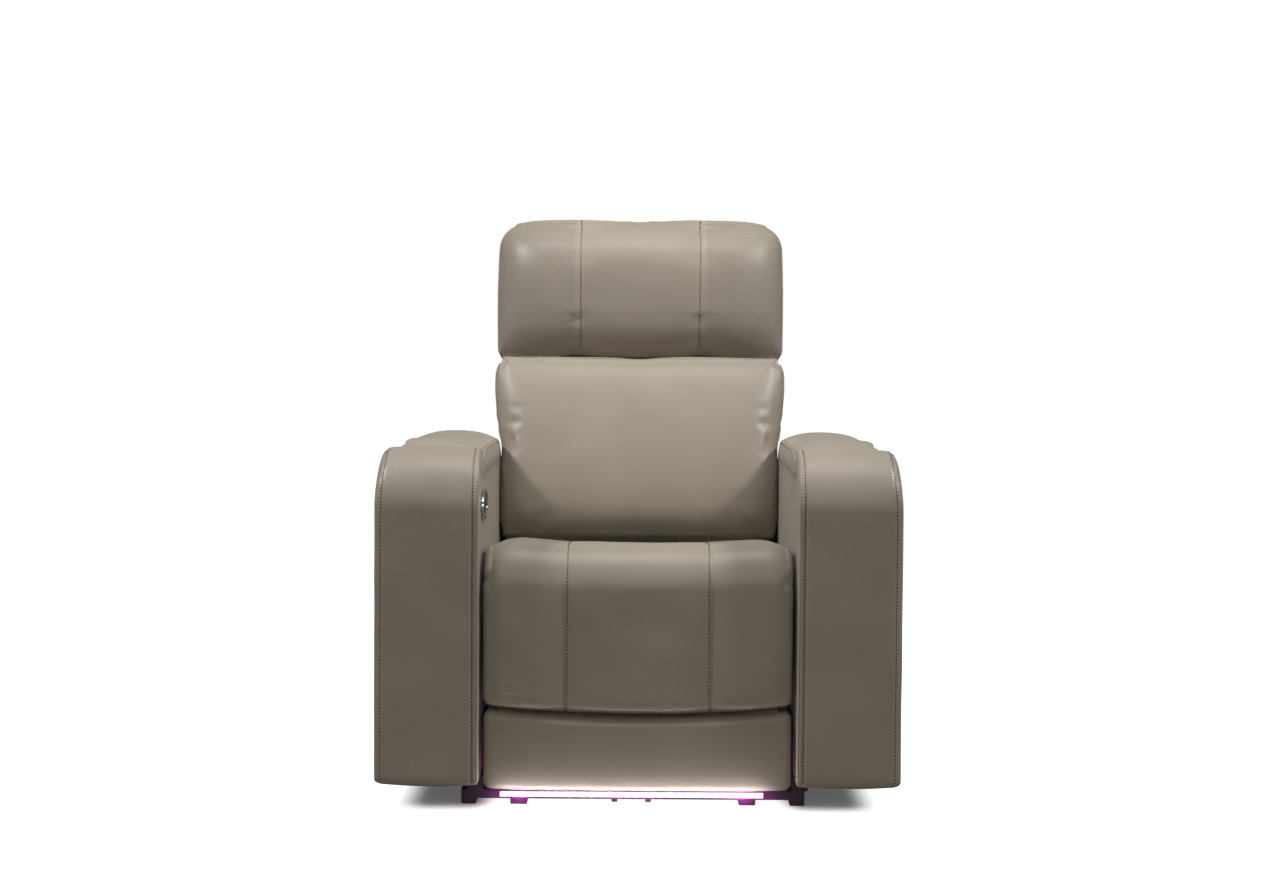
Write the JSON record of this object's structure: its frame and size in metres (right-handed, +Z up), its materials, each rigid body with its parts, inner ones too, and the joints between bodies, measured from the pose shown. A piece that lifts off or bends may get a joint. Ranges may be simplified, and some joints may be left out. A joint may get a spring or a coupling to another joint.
{
  "type": "cinema recliner seat",
  "caption": "Leather power recliner seat for a home cinema: padded arms, rising legrest, reclining back, tilting headrest, lit base strip.",
  "frame": {"origin": "centre of the bounding box on the floor", "axes": "+Z up; the seat faces -Y; +X is the right arm seen from the front"},
  "size_m": [0.98, 0.9301, 1.1283],
  "materials": {
    "upholstery_leather": "smooth satin taupe leather over foam",
    "headrest_leather": "taupe leather, side panels finely perforated",
    "rear_leather": "plain taupe leather",
    "carcass_plywood": "bare plywood",
    "black_steel": "black powder coat",
    "bright_steel": "zinc-plated steel",
    "webbing_fabric": "woven elastic webbing",
    "nylon": "natural nylon",
    "foot_rubber": "black rubber",
    "motor_plastic": "black moulded housing",
    "silver_ring": "satin silver plated",
    "panel_black": "gloss black",
    "button_plastic": "soft-touch black",
    "strip_board": "white flexible circuit strip",
    "lamp_lens": "lit lamp lens, white with a magenta fringe"
  },
  "bodies": {
    "base": {"base_front_rail": "black_steel", "base_rear_rail": "black_steel", "base_side_rails": "black_steel", "outer_feet": "foot_rubber", "inner_feet": "foot_rubber", "track_posts": "black_steel", "slide_tracks": "bright_steel", "lamp_strip": "strip_board", "lamp_chips": "lamp_lens", "power_inlet": "motor_plastic", "control_bezel": "silver_ring", "control_face": "panel_black", "arm_left_frame": "carcass_plywood", "arm_left_side_panels": "upholstery_leather", "arm_left_front_band": "upholstery_leather", "arm_left_rear_band": "upholstery_leather", "arm_left_top_pad": "upholstery_leather", "arm_right_frame": "carcass_plywood", "arm_right_side_panels": "upholstery_leather", "arm_right_front_band": "upholstery_leather", "arm_right_rear_band": "upholstery_leather", "arm_right_top_pad": "upholstery_leather"},
    "seat": {"seat_side_plates": "black_steel", "seat_cross_tubes": "black_steel", "drive_subframe": "black_steel", "carriage_legs": "black_steel", "slide_shoes": "nylon", "seat_webbing": "webbing_fabric", "pivot_bolts": "bright_steel", "seat_cushion": "upholstery_leather", "legrest_motor": "motor_plastic", "back_motor": "motor_plastic"},
    "legrest": {"legrest_arms": "black_steel", "legrest_board": "carcass_plywood", "legrest_upper_pad": "upholstery_leather", "legrest_lower_panel": "upholstery_leather"},
    "rocker": {"torque_shaft": "black_steel"},
    "coupler": {"coupler_links": "black_steel"},
    "leg_yoke": {"legrest_yoke": "nylon"},
    "back_slider": {"back_yoke": "nylon"},
    "back": {"back_posts": "black_steel", "back_brackets": "black_steel", "back_lower_bar": "black_steel", "back_upper_bar": "black_steel", "back_webbing": "webbing_fabric", "back_cushion": "upholstery_leather", "back_rear_panel": "rear_leather", "back_side_gussets": "rear_leather", "headrest_brackets": "black_steel", "headrest_motor": "motor_plastic"},
    "headrest": {"headrest_cushion": "headrest_leather", "headrest_board": "carcass_plywood", "headrest_rear_panel": "rear_leather", "headrest_arms": "black_steel"},
    "key_recline": {"button_recline": "button_plastic"},
    "key_upright": {"button_upright": "button_plastic"},
    "key_headrest_up": {"button_headrest_up": "button_plastic"},
    "key_headrest_down": {"button_headrest_down": "button_plastic"},
    "key_lamp": {"button_lamp": "button_plastic"}
  },
  "joints": [
    {"name": "legrest_lift", "type": "hinge", "parent": "seat", "child": "legrest", "pos_m": [0, -0.405, 0.435], "axis": [-1, 0, 0], "range_deg": [0, 85]},
    {"name": "back_recline", "type": "hinge", "parent": "seat", "child": "back", "pos_m": [0, 0.232, 0.355], "axis": [-1, 0, 0], "range_deg": [0, 38]},
    {"name": "seat_travel", "type": "slide", "parent": "base", "child": "seat", "axis": [0, -1, 0], "range_m": [0, 0.1]},
    {"name": "headrest_tilt", "type": "hinge", "parent": "back", "child": "headrest", "pos_m": [0, 0.31993, 0.89567], "axis": [1, 0, 0], "range_deg": [0, 40]},
    {"name": "rocker_swing", "type": "hinge", "parent": "seat", "child": "rocker", "pos_m": [0, -0.205, 0.355], "axis": [-1, 0, 0], "range_deg": [0, 85]},
    {"name": "coupler_turn", "type": "hinge", "parent": "rocker", "child": "coupler", "pos_m": [0, -0.171, 0.245], "axis": [-1, 0, 0], "range_deg": [-85, 0]},
    {"name": "legrest_yoke_slide", "type": "slide", "parent": "seat", "child": "leg_yoke", "axis": [0, -1, 0], "range_m": [0, 0.0835]},
    {"name": "back_yoke_slide", "type": "slide", "parent": "seat", "child": "back_slider", "axis": [0, -1, 0], "range_m": [0, 0.059]},
    {"name": "recline_press", "type": "slide", "parent": "base", "child": "key_recline", "axis": [-1, 0, 0], "range_m": [0, 0.0012], "stiffness_N_per_m": 500, "springref_m": -0.0006},
    {"name": "upright_press", "type": "slide", "parent": "base", "child": "key_upright", "axis": [-1, 0, 0], "range_m": [0, 0.0012], "stiffness_N_per_m": 500, "springref_m": -0.0006},
    {"name": "headrest_up_press", "type": "slide", "parent": "base", "child": "key_headrest_up", "axis": [-1, 0, 0], "range_m": [0, 0.0012], "stiffness_N_per_m": 500, "springref_m": -0.0006},
    {"name": "headrest_down_press", "type": "slide", "parent": "base", "child": "key_headrest_down", "axis": [-1, 0, 0], "range_m": [0, 0.0012], "stiffness_N_per_m": 500, "springref_m": -0.0006},
    {"name": "lamp_press", "type": "slide", "parent": "base", "child": "key_lamp", "axis": [-1, 0, 0], "range_m": [0, 0.0012], "stiffness_N_per_m": 500, "springref_m": -0.0006}
  ],
  "couplings": [
    {"joint": "seat_travel", "follows": "back_recline", "m_per_rad": 0.15},
    {"joint": "rocker_swing", "follows": "legrest_lift", "ratio": 1},
    {"joint": "coupler_turn", "follows": "legrest_lift", "ratio": -1},
    {"joint": "legrest_yoke_slide", "follows": "legrest_lift", "m_per_rad": 0.056},
    {"joint": "back_yoke_slide", "follows": "back_recline", "m_per_rad": 0.0886}
  ]
}
